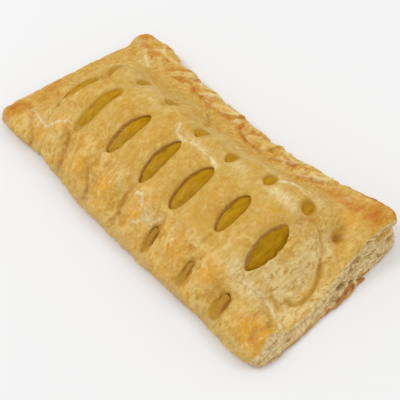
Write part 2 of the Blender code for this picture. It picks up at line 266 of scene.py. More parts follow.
def cut_edge(along, width):
    """Half the width of the cut lens, from its middle (0) to its tip (1)."""
    return 0.5 * width * np.clip(1 - np.minimum(along, 1) ** 1.9, 0, 1) ** 0.85


def baked_edge(along, width):
    """Half the width of the baked slit: nearly straight sides and blunt ends."""
    return 0.5 * width * np.clip(1 - np.minimum(along, 1) ** 3, 0, 1) ** 0.6


def drift_of(slit, p):
    """How far the slit's middle line moved sideways beside each point."""
    share = np.clip(0.5 + 0.5 * (p[:, 1] - slit.y) / slit.half, 0, 1)
    return slit.drift_low + (slit.drift_high - slit.drift_low) * share


print("slits:", len(ALL_SLITS))

# %% [markdown]
# Three things follow from the outlines. The lips move from the cut edge to the baked one, the left
# walls lean over as they go down, and any point can tell how far it is from the nearest slit.

# %% Move the lips and lean the walls
def bake_slits(p):
    """Moves points near the slits sideways, from the cut outlines to the baked ones."""
    moved = p.copy()
    high = step(3, 5, p[:, 2])
    for slit in ALL_SLITS:
        along = np.abs(p[:, 1] - slit.y) / slit.half
        before = cut_edge(along, slit.cut) + SOFTENED
        after = baked_edge(along, slit.baked)
        aside = p[:, 0] - slit.x
        away = np.abs(aside)
        past = np.maximum(away - before, 0)
        beyond = away + (after - before) * bell(past, 0, LIP_REACH)
        across = np.where(away > before, beyond, away * after / before)
        near = step(1.15, 1, along) * high * (away < 8)
        moved[:, 0] += near * np.sign(aside) * (across - away)
        slid = step(1.5, 1, along) * high * bell(past, 0, DRIFT_REACH)
        moved[:, 0] += slid * drift_of(slit, p)
    return moved


def lean_walls(p, depth):
    """Leans the left wall of each middle slit over, more and more with depth."""
    moved = p.copy()
    for slit in MIDDLE_SLITS:
        along = np.abs(p[:, 1] - slit.y) / slit.half
        edge = baked_edge(along, slit.baked)
        from_lip = np.abs(p[:, 0] - slit.x - drift_of(slit, p) + edge)
        beside = step(2.4, 1.2, from_lip) * step(1, 0.85, along) * step(4.5, 3.5, depth)
        moved[:, 0] += beside * np.minimum(slit.lean * step(0.3, 2.4, depth), 0.8 * edge)
        moved[:, 2] -= beside * WALL_DROP * (slit.lean > 0) * step(0.6, 2, depth)
    return moved


def distance_to_slits(p, slits):
    """Distance on the plan to the nearest baked slit's edge, below 0 inside it."""
    nearest = np.full(len(p), 1e9)
    for slit in slits:
        along = np.abs(p[:, 1] - slit.y) / slit.half
        past_end = TIP_SHARPNESS * slit.half * np.clip(along - 1, 0, None)
        across = np.abs(p[:, 0] - slit.x - drift_of(slit, p)) - baked_edge(along, slit.baked)
        outside = np.hypot(np.maximum(across, 0), past_end)
        nearest = np.minimum(nearest, np.where(outside > 0, outside, across))
    return nearest


print("slits in the middle:", len(MIDDLE_SLITS), "at the sides:", len(SIDE_SLITS))

# %% [markdown]
# ## The crust, made fine
#
# The solid crust has a few thousand flat triangles, too coarse for blisters a millimetre wide.
# A voxel remesh wraps it in small even faces. The plain solid also has the petals and humps of its
# edges as an even wave, and dough isn't so even: most of the wave is taken back out here, the
# slits are closed in, and real notches are pressed where a fingertip would leave them.

# %% Remesh the crust and pull its edges into shape
VOXEL = 0.52 * MM
PETAL_PITCH, PETAL_SLANT, PETAL_EDGE_Y, PETAL_HEIGHT = 12.2, 1.9, 30, 1.5
HUMP_PITCH, HUMP_MIDDLE_Y, HUMP_HEIGHT = 12.4, 4.5, 0.8
PETALS_TAKEN, HUMPS_TAKEN = 0.85, 0.8  # how much of each even wave is taken out
SCALLOP = 0.72  # how far the edges' even swing in and out is pulled straight
NOTCH_WIDTH = 1.7
CRIMP_NOTCHES = [
    (-38.5, 0.6), (-28.1, 0.9), (-14.7, 0.8), (1.5, 0.5), (11.5, 0.6), (25.5, 0.6), (40, 0.4),
]


def even_petals(p):
    """The saw-tooth wave that the plain solid has along its crimped side."""
    x, y = p[:, 0], p[:, 1]
    along = (x - PETAL_SLANT * (y - PETAL_EDGE_Y)) / PETAL_PITCH
    share = along - np.floor(along)
    on_border = step(21, 26, y) * step(-60, -50, x) * step(56, 44, x)
    return on_border * PETAL_HEIGHT * (step(0, 0.7, share) * step(1, 0.82, share) - 0.45)


def hump_wave(y):
    return np.cos(2 * math.pi * (y - HUMP_MIDDLE_Y) / HUMP_PITCH)


def even_humps(p):
    """The humps that the plain solid has along its far end."""
    x, y = p[:, 0], p[:, 1]
    return HUMP_HEIGHT * step(-51, -59, x) * hump_wave(y) * step(34, 26, y)


def pull_into_shape(p):
    """Takes most of the even wave out of the edges and presses real notches in."""
    x, y, z = p.T
    moved = p.copy()
    high = step(1.5, 5, z)
    moved[:, 2] -= high * (PETALS_TAKEN * even_petals(p) + HUMPS_TAKEN * even_humps(p))
    scallops = -np.cos(2 * math.pi * x / PETAL_PITCH) * step(60, 47, np.abs(x))
    moved[:, 1] -= SCALLOP * scallops * step(25, 30, y)
    uneven = SCALLOP * hump_wave(y) + 0.8 * bell(y, 23.8, 2) - 0.5 * bell(y, -2.5, 3)
    moved[:, 0] += step(-56, -61, x) * uneven
    let_out = step(-62, -55, x) * step(4, -12, x) + 1.1 * bell(x, 29, 9)
    moved[:, 1] += 1.1 * let_out * step(24, 31, y)
    drawn_in = bell(x, 42, 7) + 0.7 * bell(x, -38, 12) - 0.8 * bell(x, 64, 5)
    moved[:, 1] += drawn_in * step(-27, -33, y)
    moved[:, 1] -= 0.7 * step(48, 60, x) * step(24, 30, y)
    moved[:, 0] += 0.4 * step(58, 63, x) * step(14, 8, y)
    near_corner = mound(p, 66, 31, 4, 4) * step(9, 11, z)
    lower_sheet = step(10.5, 9, z) * step(22, 28, y) * step(58, 63, x)
    moved[:, 0] += 1.3 * near_corner - 0.8 * lower_sheet
    for notch_x, press in CRIMP_NOTCHES:
        dent = press * bell(x, notch_x, NOTCH_WIDTH) * step(26, 31, y)
        moved[:, 1] -= dent
        moved[:, 2] -= 0.5 * dent * high
    return moved


crust = copy_of("pastry_crust", "crust")
apply_modifier(crust, "REMESH", mode="VOXEL", voxel_size=VOXEL, use_smooth_shade=True)
print("crust faces:", len(crust.data.polygons))

# %% [markdown]
# ## Sparing the hidden faces
#
# Half of those faces lie on the underside or inside the pocket, where nobody looks. To know which,
# rays are dropped on the crust over a fine grid, which gives a height map of its top. A decimation
# that is limited to the hidden points then saves the faces for the part that is seen.

# %% Drop rays over the crust and thin out what they don't reach
GRID = 0.7  # millimetres between rays
RAY_START = 0.1  # metres, well above the pie
HIDDEN_DEPTH = 1.8  # a point in the pocket is at least this far under the top
UNDERSIDE_TOP = 0.35  # and a point below this height is on the underside
KEPT_SHARE = 0.62


def heights_over(piece):
    """The height of the piece's top over a grid of places on the plan."""
    tree = BVHTree.FromObject(piece, bpy.context.evaluated_depsgraph_get())
    xs = np.arange(-70, 71, GRID)
    ys = np.arange(-38, 38, GRID)
    heights = np.zeros((len(xs), len(ys)))
    for i, x in enumerate(xs):
        for j, y in enumerate(ys):
            start = ((x - PLAN_MIDDLE[0]) * MM, (y - PLAN_MIDDLE[1]) * MM, RAY_START)
            hit = tree.ray_cast(start, (0, 0, -1))[0]
            heights[i, j] = hit.z / MM if hit else 0
    return xs, ys, heights


def height_on(grid, p):
    """The height over each point, between the grid's places."""
    xs, ys, heights = grid
    i = np.clip((p[:, 0] - xs[0]) / GRID, 0, len(xs) - 1.001)
    j = np.clip((p[:, 1] - ys[0]) / GRID, 0, len(ys) - 1.001)
    a, b = i.astype(int), j.astype(int)
    s, t = i - a, j - b
    near = heights[a, b] * (1 - t) + heights[a, b + 1] * t
    far = heights[a + 1, b] * (1 - t) + heights[a + 1, b + 1] * t
    return near * (1 - s) + far * s


def weigh(piece, name, weights):
    """Makes a vertex group with these weights, in quarter steps."""
    group = piece.vertex_groups.new(name=name)
    for level in range(1, 5):
        chosen = np.nonzero(np.ceil(weights * 4) == level)[0]
        group.add(chosen.tolist(), level / 4, "REPLACE")


points = points_of(crust)
x, y, z = points.T
below_top = height_on(heights_over(crust), points) - z
in_pocket = (np.abs(x) < 55) & (y > -32) & (y < 20) & (below_top > HIDDEN_DEPTH)
in_pocket &= distance_to_slits(points, ALL_SLITS) > 2.5
weigh(crust, "hidden", 1 * (in_pocket | (z < UNDERSIDE_TOP)))
apply_modifier(crust, "DECIMATE", ratio=KEPT_SHARE, vertex_group="hidden")
move_points(crust, bake_slits(pull_into_shape(points_of(crust))))
print("crust triangles:", triangles_of(crust))

# %% [markdown]
# A smoothing pass now melts the old flat triangles into each other and rounds the lips, as baking
# does. The crimps, the far edge and the small side slits puffed up more than the rest, so they get
# a second, longer smoothing through a vertex group.

# %% Smooth the crust
apply_modifier(crust, "SMOOTH", factor=0.5, iterations=5)
points = points_of(crust)
x, y = points[:, 0], points[:, 1]
on_crimps = step(19, 24, y) * step(62, 50, x)
on_far_edge = step(-50, -55, x) * step(-30, -22, y)
by_side_slits = step(2.4, 1.4, distance_to_slits(points, SIDE_SLITS))
puffed = np.maximum.reduce([on_crimps, on_far_edge, by_side_slits])
weigh(crust, "puffed", puffed)
apply_modifier(crust, "SMOOTH", factor=0.5, iterations=14, vertex_group="puffed")
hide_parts("pastry_crust")
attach(crust, "root")
print("puffed points:", int((puffed > 0.5).sum()))

# %% [markdown]
# ## Where each point of the crust is
#
# Some features belong to the top, some to the cut end and some to the walls of the slits. The
# height map tells these apart. The slits are holes in it, so each is bridged by a straight line
# from lip to lip, and the result is a lid. How deep a point lies under the lid says which kind of
# surface it is on.

# %% Put a lid over the crust
LIP_WIDTH = 0.6  # the bridge starts this far outside a slit


def lid_over(grid):
    """The same heights, with each slit bridged from lip to lip."""
    xs, ys, heights = grid
    plan = [*np.meshgrid(xs, ys, indexing="ij"), np.zeros_like(heights)]
    places = np.stack(plan, axis=-1).reshape(-1, 3)
    gaping = (distance_to_slits(places, ALL_SLITS) < LIP_WIDTH).reshape(heights.shape)
    bridged = heights.copy()
    for j in range(len(ys)):
        firm = ~gaping[:, j]
        bridged[:, j] = np.interp(xs, xs[firm], heights[firm, j])
    return xs, ys, bridged


open_top = heights_over(crust)
lid = lid_over(open_top)
print("lid: highest point, mm:", round(float(lid[2].max()), 1))

# %% [markdown]
# ## Cracks, folds and tears
#
# Where the dough was stretched over the filling, the glazed skin has split, and pale layers show.
# Where two folds meet, there is a soft crease instead. Both are lines on the plan. The folded side
# also hangs in drapes, with a bulge between each two creases. On the crimped side each pinch laid
# a flap of dough over the next: a line whose outer side stands above its inner side.

# %% Lines and bulges on the plan
CRACKS = [
    [(-57, -22.6), (-53, -24), (-49.5, -24.6), (-44.5, -25.2), (-39.9, -24.2), (-36.5, -22)],
    [
        (-5, 1.6), (-4.2, -0.4), (-3.1, -1.4), (-0.1, -1.9), (2.6, -0.9), (5.2, -0.3), (9.3, -0.7),
        (13, -0.7), (15, -1.6),
    ],
    [(46.7, -20.1), (50, -19), (53.1, -17.6), (57.5, -17.9), (60.5, -19.2), (63.4, -19.8)],
    [(1.2, -22.6), (3.5, -22.4), (6.3, -24.4)],
    [(6.2, -29.4), (9, -27), (12.2, -25.5), (14, -23)],
    [(7.6, -24.6), (10, -26.2), (12.7, -25.1)],
    [(32.2, 8.9), (34.2, 12), (37.5, 13), (40.7, 11.9)],
    [(-46, 22), (-49.5, 23.6), (-53, 26.5)],
]
CREASES = [
    [
        (46.4, 5), (48.5, 8.6), (52, 8.6), (55, 6.2), (57, 3.2), (58.8, 0.6), (60.2, -2.6),
        (61, -6), (60.9, -9), (58.7, -11.8),
    ],
    [(-46, -18.4), (-43, -13.5), (-40.6, -7), (-39.4, -1), (-40.6, 5), (-43.5, 11)],
    [(-0.9, -20.6), (-1.9, -24.5), (-1.1, -28.3), (2.4, -30.8)],
    [(-32.9, -23.7), (-31.7, -26.6), (-30.9, -31.5)],
    [(-52.6, -25.4), (-49, -28.5), (-46.4, -31.8)],
    [(-42.4, -25.6), (-41.4, -28.4), (-40.8, -31.8)],
    [(-18.8, -27), (-16.4, -30), (-15.1, -32.5)],
    [(59.6, -29.5), (59.9, -26), (60.6, -22.1)],
    [(14.4, -21.6), (14.6, -24.4)],
    [(-12.8, 22), (-8.5, 18.5), (-5.6, 15), (-3.6, 11)],
]
BULGES = [
    (-35.8, -27.8, 3, 3.4, 0.9), (-46.2, -27.6, 2.4, 3, 0.8), (-57, -28, 4, 3, 0.4),
    (-25, -27.6, 5, 3.2, 0.8), (-9.6, -27.2, 5, 3.4, 0.9), (5.6, -27, 3.6, 3.4, 0.5),
    (20.9, -27.3, 4.4, 3.6, 0.9), (37.4, -27, 4.6, 3.6, 0.9), (54.6, -27.2, 4.6, 3.2, 0.5),
    (62, -26.6, 2.2, 3.6, 0.5), (-13, -31.6, 3.6, 1.4, -0.6), (2, -32, 5, 1.6, -0.6),
    (57, -2, 2, 7, 0.4), (55.2, 12.5, 1.7, 2.4, -1.5),
]
FLAPS = [
    [(-37, 24.3), (-33.3, 26), (-29.5, 28.6), (-27.6, 31)],
    [(-26.6, 26.6), (-21.5, 25.3), (-16.5, 25), (-11, 25.6), (-6.7, 27), (-3.5, 30)],
    [(-20.8, 26.6), (-16.5, 28.4), (-13.4, 31)],
    [(-1.4, 26.4), (2, 24.2), (6.5, 22.9), (11, 23.8), (13.6, 26.5), (15.4, 30)],
    [(3, 27.4), (8, 28.4), (11.5, 31)],
    [(13.5, 21.8), (18.8, 25.5), (23.3, 27.1), (26.5, 30.6)],
    [(27, 24), (32, 26.5), (37, 28), (40, 31.5)],
]


def wobbly(p, line, size=2.2, sway=0.7):
    """Distance to a line that wanders from side to side as it goes."""
    swayed = p.copy()
    swayed[:, 0] += sway * noise_at(p, size, 3.1)
    swayed[:, 1] += sway * noise_at(p, size, 9.7)
    return distance_to_line(swayed, line)


def outer_side(p, line):
    """1 on the side of the line towards the crimped edge, and -1 on the other."""
    across = np.interp(p[:, 0], [x for x, y in line], [y for x, y in line])
    return np.sign(p[:, 1] - across)


print("cracks:", len(CRACKS), "creases:", len(CREASES), "flaps:", len(FLAPS))

# %% [markdown]
# ## Relief of the crust
#
# Now the fields are added up: soft lumps and blisters over the whole top, split cracks with lifted
# edges, sharper folds and flaps, pleats pressed together beside the large fold, and, at the cut
# end, the thin layers that give puff pastry its name. First, each point is sorted by the kind of
# surface it lies on.

# %% Sort the points
points = points_of(crust)
normals = normals_of(crust)
x, y, z = points.T
depth = height_on(lid, points) - z
covered = height_on(open_top, points) - z
to_slit = distance_to_slits(points, ALL_SLITS)
to_middle_slit = distance_to_slits(points, MIDDLE_SLITS)

end_face = step(0.30, 0.62, normals[:, 0]) * step(61.5, 63.2, x) * step(0.5, 1.3, z)
rim = np.maximum(step(29.5, 31.5, np.abs(y + 0.5)), step(60, 62, np.abs(x)))
in_slit = step(1.1, 0.5, to_slit) * step(0.5, 1.1, depth)
roofed = step(1, 1.6, covered) * step(2, 2.6, z)
inside = np.maximum(in_slit, roofed) * (1 - rim)
underside = step(-0.5, -0.9, normals[:, 2]) * step(1.6, 0.8, z)
top = np.clip(1 - inside - underside - end_face, 0, 1)
fold_side = step(-17, -23, y)
print("points on the top:", int((top > 0.5).sum()), "cut end:", int((end_face > 0.5).sum()))

# %% [markdown]
# Blisters are ridges of noise, and they crowd together in patches. Where the skin cracked, its
# edges curl up, with a thin gap beside them that is later also painted dark, as painted shade.
# More noise breaks each crack into short pieces, because a line of even width looks like a rope
# laid on the dough.

# %% Lumps, blisters, cracks and creases
lumps = 0.28 * noise_at(points, 7.5, 1)
shifts = [noise_at(points, 3, seed) for seed in (51, 52, 53)]
warped = points + 1.2 * np.stack(shifts, axis=1)
patchy = step(-0.25, 0.35, noise_at(points, 11, 4))
drapes = 0.30 * noise_at(points, 3, 21, (0.8, 1.6, 1.6))
drapes += 0.24 * ridges_at(warped, 2.6, 22, (0.8, 2, 2))
fine = 0.14 * noise_at(points, 3.6, 2) + 0.12 * noise_at(points, 1.8, 3)
fine += 0.20 * patchy * ridges_at(warped, 3.2, 5, (1, 1.6, 1))
fine -= 0.14 * ridges_at(warped, 2.4, 6)
fine += fold_side * drapes

torn_lip, split, creased = (np.zeros(len(points)) for _ in range(3))
broken = 0.5 + 0.5 * step(-0.3, 0.2, noise_at(points, 1.8, 31))
gaps = step(0, 0.3, noise_at(points, 2.2, 32))
for line in CRACKS:
    away = wobbly(points, line, 1.5, 0.5)
    split = np.maximum(split, gaps * bell(away, 0.5, 0.35))
    torn_lip = np.maximum(torn_lip, broken * bell(away, 0, 0.25 + 0.45 * broken))
for line in CREASES:
    creased = np.maximum(creased, bell(wobbly(points, line, 4, 0.5), 0, 0.8))
bulged = sum(rise * mound(points, *place) for *place, rise in BULGES)
print("cracked points:", int((torn_lip > 0.5).sum()), "creased:", int((creased > 0.5).sum()))

# %% [markdown]
# The dough around the last large slit was stretched in arcs, so its wrinkles are noise drawn out
# along circles about that slit. Each flap of the crimps is high on its outer side and low on its
# inner side, with fine slanting folds between. The lips of the large slits stay calm, since they
# puffed up smooth.

# %% Rings, flaps and crimp folds
RING_MIDDLE = np.array([MIDDLE_SLITS[-1].x, MIDDLE_SLITS[-1].y + 1])
ALONG_CRIMPS = np.array([[0.94, -0.34, 0], [0.34, 0.94, 0], [0, 0, 1]])  # a 20 degree turn

from_ring = points[:, :2] - RING_MIDDLE
radius = np.hypot(from_ring[:, 0], from_ring[:, 1])
turn = np.arctan2(from_ring[:, 1], from_ring[:, 0])
rings = noise_at(np.stack([radius, 12 * turn, 0 * turn], axis=1), 1.5, 33, (1, 4.5, 1))
before_end = step(62.5, 60.5, x)
ringed = step(8.5, 10.5, radius) * step(17, 14, radius) * step(47, 53, x)
ringed *= before_end * step(-0.5, 0.1, noise_at(points, 4, 35))
by_fold = step(7, 4, wobbly(points, CREASES[0], 4, 0.5)) * step(44, 50, x) * before_end
ringed = np.maximum(ringed, 0.6 * by_fold)

flapped, flap_crease, flap_ridge = (np.zeros(len(points)) for _ in range(3))
for line in FLAPS:
    away = wobbly(points, line, 3, 0.5)
    side = outer_side(points, line)
    first, last = line[0][0], line[-1][0]
    reach = step(first - 1, first + 1.5, x) * step(last + 1.5, last - 0.5, x)
    outer, inner = 0.55 * np.exp(-away / 2), -0.35 * np.exp(-away / 1.2)
    flapped += reach * np.where(side > 0, outer, inner)
    flap_crease = np.maximum(flap_crease, reach * bell(away * side, -0.6, 0.9))
    flap_ridge = np.maximum(flap_ridge, reach * bell(away * side, 0.6, 0.45))
flapped = np.clip(flapped, -0.9, 1) * step(1.5, 4, z)

slanted = points @ ALONG_CRIMPS
crimped = step(23.5, 26, y) * step(56, 46, x) * step(-60, -48, x)
crimp_folds = crimped * ridges_at(slanted, 2.6, 81, (3, 0.8, 1))
cut_rim = step(60, 64, x) * noise_at(points, 2.6, 61)
fine += 0.16 * ringed * rings + 0.3 * crimp_folds + 0.35 * cut_rim
calm_lips = 0.3 + 0.7 * step(0.2, 1.8, to_middle_slit)
relief = calm_lips * (lumps + fine) + bulged + flapped
relief += 0.28 * torn_lip - 0.40 * split - 0.75 * creased
relief *= top
print("relief of the top, mm:", round(float(relief.min()), 2), "to", round(float(relief.max()), 2))

# %% [markdown]
# The cut end is a stack of leaves. Going up it, the surface swings in and out once for each leaf.
# The leaves aren't level: they sag and split, so the height is bent by noise before it is cut
# into layers. Larger bubbles are single pits, wider along the leaf than across it.

# %% Layers and bubbles at the cut end
LEAF = 1.7  # millimetres from one leaf to the next
BUBBLES = [
    (24.4, 11.3, 1.1, 0.8), (18.8, 10.8, 1, 0.7), (22.8, 8.3, 0.6, 0.5), (13.2, 6.9, 2.4, 0.6),
    (10, 5.6, 1, 0.5), (4.6, 3.9, 1.9, 0.6), (8.6, 2.9, 1, 0.6), (28, 6, 1.2, 0.6),
    (20.5, 4.2, 1.5, 0.5),
]

sag = 1.2 * noise_at(points, 9, 7) + 0.5 * noise_at(points, 3, 8, (1, 2, 1))
bent = z + sag - 0.12 * np.maximum(y, 0)
leaf_wave = np.abs(np.sin(math.pi * bent / LEAF))
leaves = 0.14 * np.sqrt(leaf_wave) - 0.2 + 0.4 * noise_at(points, 5, 10, (1, 1.4, 0.8))
leaves += 0.26 * noise_at(points, 1.8, 9, (1, 2.4, 0.8))
bubbles = np.zeros(len(points))
for across, up, half_across, half_up in BUBBLES:
    reach = ((y - across) / half_across) ** 2 + ((z - up) / half_up) ** 2
    bubbles = np.maximum(bubbles, np.exp(-(reach**1.5)))
relief += end_face * (leaves - 1.5 * bubbles)
print("bubbles:", len(BUBBLES), "leaf height, mm:", LEAF)

# %% [markdown]
# The points can now be moved. The slits on the folded side lie beyond the pocket, so their floors
# are drawn up to just below their lips. The lips of the large slits get a last smoothing, which
# takes out the steps that leaning a wall leaves in its mesh.

# %% Move the points and round the lips
FLOOR_DEPTH = 0.7  # from the lips of a slit on the folded side to its floor
SPARED_HEIGHT = 2.4  # points below this belong to the underside

dressed = lean_walls(points, depth) + normals * relief[:, None]
shallow = height_on(lid, points) - FLOOR_DEPTH
to_fold_slit = distance_to_slits(points, FOLD_SLITS)
raised_floor = (to_fold_slit < 0.9) & ((roofed < 0.5) | (to_fold_slit < 0.45))
raised_floor &= (z > SPARED_HEIGHT) & (dressed[:, 2] < shallow)
dressed[raised_floor, 2] = shallow[raised_floor]
move_points(crust, dressed)
weigh(crust, "lips", step(2, 1, np.abs(to_middle_slit)))
apply_modifier(crust, "SMOOTH", factor=0.5, iterations=12, vertex_group="lips")
print("floor points raised:", int(raised_floor.sum()))

# %% [markdown]
# ## What the materials need to know
#
# Baking colours each place differently, and a material can only follow that if the mesh tells it
# where. So the same fields are stored on the mesh as attributes with plain names: how browned a
# point is, how pale and stretched, how golden the glaze, and how moist with juice. What no field
# knows is listed here as soft patches on the plan.

# %% Patches on the plan
def patches(p, places):
    """The strongest of some soft patches, each x, y, radius across, radius up and strength."""
    strongest = np.zeros(len(p))
    for *place, most in places:
        strongest = np.maximum(strongest, most * mound(p, *place))
    return strongest


PALE_PLACES = [
    (53, -12, 7, 6, 1), (38, 5, 8, 3, 0.9), (54, 4, 4, 8, 1), (61, -14, 3, 6, 1),
    (-55, 27, 5, 4, 0.5), (-8, 30, 40, 1.6, 0.6), (47, -20, 8, 4, 1), (4, 0.5, 11, 2.5, 0.55),
    (19, 3.5, 7, 3, 0.6), (-49, 22.5, 5, 4, 0.6), (-50, -23.6, 6, 1.6, 0.15),
    (52.5, -25.5, 3, 2, 0.35), (14, 12, 22, 5, 0.4), (-26, 6, 16, 5, 0.4), (44.5, 14, 4, 3, 0.5),
    (10.5, -24.5, 4.5, 3, 0.4), (21.5, -26.5, 3, 3, 0.4), (-35.6, -26.8, 1.8, 3, 0.5),
    (46, 2, 4, 4, 0.4), (-3, -20, 4, 2, 0.35), (63, -6, 2.5, 12, 0.8), (27, -21.5, 5, 2, 0.4),
    (-20, 2, 10, 3, 0.4), (54.5, -4.5, 4, 4.5, 0.9),
]
BROWN_PLACES = [
    (58, 26, 5, 3.5, 1), (50, 25.5, 8, 3, 0.8), (42, 26, 6, 3, 0.6), (-61, -27.5, 4, 5, 1),
    (-60, -24, 4, 3, 0.7), (-59, 31, 5, 3, 0.85), (-52, 28, 5, 2.5, 0.7), (-61, -10, 3, 14, 0.45),
    (-58, -14, 4, 5, 0.4), (-61, 10, 3, 8, 0.35), (60.5, -29, 3, 2, 0.5),
    (55.2, 12.5, 1.7, 2.5, 0.65), (-16, -15, 4, 6, 0.3), (-22, -7, 4, 5, 0.3),
    (8, -7, 3.5, 6, 0.3), (23, -8, 3.5, 6, 0.28), (38, -10, 3.5, 7, 0.3), (52, -4, 3, 4, 0.1),
    (64.5, 30, 3, 2.5, 1), (54, 31, 8, 1.5, 0.9), (61, -28.5, 2, 1.5, 0.3),
    (60.4, -7, 1.2, 3, 0.5), (14, 17, 8, 3, 0.25),
]
GOLD_PLACES = [
    (-22.5, -27.5, 4, 3.5, 0.9), (-10, -27, 5, 4, 0.9), (5, -26, 5, 4, 0.8), (25, -27, 5, 4, 0.8),
    (38, -26, 4, 4, 0.7), (59.5, -27.5, 6, 5, 1.3), (-45.5, -27.5, 2.5, 4, 0.9),
    (-54, -25.5, 3, 2.5, 0.8), (53, 20, 7, 5, 0.7), (-30, -22, 6, 3, 0.5), (-38, -22.5, 8, 4, 0.6),
    (57, 12, 5, 6, 0.6), (40, -16, 4, 4, 0.4), (46, -26.5, 3, 2, 0.4), (46, 25, 14, 4, 0.6),
    (55.5, -27.5, 5, 3, 0.9),
]
CRACKLED_PLACES = [
    (36.5, 5, 8, 3, 1), (54, -8, 5, 10, 0.7), (9, -26, 8, 4, 0.9), (-50, -24, 7, 3, 0.9),
    (-49, 24, 6, 4, 0.8), (53, -26, 5, 4, 0.9), (-10, -24, 6, 3, 0.7), (-20, 22, 30, 4, 0.5),
    (45, 16, 6, 5, 0.6), (26, -25, 8, 4, 0.6),
]
DIMPLES = [
    (-32.3, 25.6, 2.2, 0.9), (-25.6, 26.3, 1.4, 1.8), (-18.5, 25.8, 3.6, 1), (-7, 26, 1.6, 1),
    (-0.8, 25.9, 1.4, 2), (5.5, 23.6, 4.6, 1.1), (22.4, 26.9, 3.2, 1), (33, 26.4, 3, 0.8),
    (-38, 27.5, 1.6, 0.8), (47.1, -27.4, 0.7, 2.6), (31.8, -27.4, 0.6, 2.6),
    (15.2, -27.4, 0.7, 2.6),
]
STAINS = [(55.2, 12.5, 1.9, 2.7, 1.1), (-16.4, 5, 0.7, 1.6, 0.7), (-19.4, 13, 0.8, 1.2, 0.8)]
STAINED_FOLDS = [
    [(-47, -18.4), (-43.8, -13.4), (-41.1, -10.5), (-40.2, -5.4)],
    [(-40.3, 1), (-42, 6), (-44, 9)],
    [(57, 3.2), (58.8, 0.6), (60.2, -2.6), (61, -6), (60.9, -9)],
    [(60, -10.6), (57.6, -12)],
    [(54.6, -15.6), (57.2, -15.4)],
    [(30.2, -17.6), (29.8, -20.4)],
]
print("patches:", len(PALE_PLACES) + len(BROWN_PLACES) + len(GOLD_PLACES) + len(CRACKLED_PLACES))

# %% [markdown]
# Brown gathers in dimples, behind each flap and in the creases. Torn edges show pale cream layers,
# and the ridges of the crimps and of their folds are painted light, as painted highlight. Creases,
# splits, bubbles and the gaps between leaves are painted dark, and so are the low sides, as painted
# shade. Juice seeps out round the slits that welled up, and along a few folds.

# %% Store the baking on the mesh
def store(piece, name, values):
    """Writes one number per point, from 0 to 1, to the mesh."""
    attribute = piece.data.attributes.new(name, "FLOAT", "POINT")
    attribute.data.foreach_set("value", np.clip(values, 0, 1).astype(np.float32))


# painted highlight: the ridges of the flaps and of the crimp folds are coloured light
flap_ridge_highlight = 0.8 * flap_ridge * step(-0.1, 0.3, noise_at(points, 2.5, 72))
crimp_fold_highlight = 0.9 * crimp_folds**2 * step(-0.1, 0.2, noise_at(points, 5, 73))
fold_gold = 0.5 * fold_side * step(-0.1, 0.3, noise_at(points, 5, 41))
smudges = step(0.05, 0.4, noise_at(slanted, 2.4, 83, (2, 0.8, 1)))
behind_flaps = (0.2 + 0.45 * step(-0.1, 0.3, noise_at(points, 2.5, 71))) * flap_crease
dimpled = patches(points, [(*place, 1.1) for place in DIMPLES])
brown = np.maximum.reduce([
    patches(points, BROWN_PLACES), dimpled, behind_flaps,
    0.6 * crimped * smudges, 0.4 * creased, 0.6 * underside,
])
low_sides = np.maximum(fold_side, step(-58, -62, x)) * (1 - end_face)
edges = [fold_side, step(8, 14, y), step(40, 50, x), step(-36, -44, x)]
welled = step(1.6, -0.2, distance_to_slits(points, WELLED_UP))
stained = np.maximum(welled, patches(points, STAINS))
for line in STAINED_FOLDS:
    stained = np.maximum(stained, 0.75 * bell(wobbly(points, line, 3, 0.3), 0, 0.8))
# painted shade in the grooves between the leaves
leaf_gap_shade = 0.5 * end_face * step(0.5, 0.1, leaf_wave)

baking = {
    "browned": brown * (1 - 0.8 * torn_lip),
    "pale": np.maximum(torn_lip, patches(points, PALE_PLACES)),
    # pale torn edges, and painted highlight on the crimp ridges
    "torn_cream_and_highlight": np.maximum.reduce([torn_lip, flap_ridge_highlight, crimp_fold_highlight]),
    "flaky": np.maximum.reduce(edges),
    "golden": np.maximum(patches(points, GOLD_PLACES), fold_gold),
    # painted shade: darker and greyer low on the folded side and the far end
    "low_side_shade": step(6.5, 3.5, z) * low_sides,
    # the relief's height, which the skin turns into painted highlight on ridges and painted shade
    # in valleys
    "raised": 0.5 + 1.4 * fine * top,
    "ringed": ringed,
    "crackled": patches(points, CRACKLED_PLACES),
    "inner": end_face,
    "moist": inside,
    "juicy": stained,
    # painted shade in bubbles, between leaves, in creases and in splits
    "hollow_shade": bubbles * end_face + leaf_gap_shade + 0.4 * creased + 0.5 * split,
    "base": step(1.9, 0.9, z),
}
for name, values in baking.items():
    store(crust, name, values)
print("stored:", {name: round(float(values.mean()), 2) for name, values in baking.items()})

# %% [markdown]
# ## The filling
#
# The filling is thick jam with shreds of fruit in it. It starts from its own solid in the same
# way, and gets low rounded ribs: noise that is stretched along one direction reads as fibres. As
# it boiled it welled up into the small side slits, almost to their lips. Under the large ones it
# lies deeper, and it climbs towards the tips on the crimped side.

# %% Model the filling
FILLING_VOXEL = 0.5 * MM
SWELL = 0.1
WELL_DEPTH = 0.6  # how far below its lips a small slit is filled
MIDDLE_DEPTH, TIP_DEPTH = 2.2, 1.4  # the same for a large one, at its middle and its tips
SLUMP = 0.7  # how far the jam of a large slit lies towards the crimps

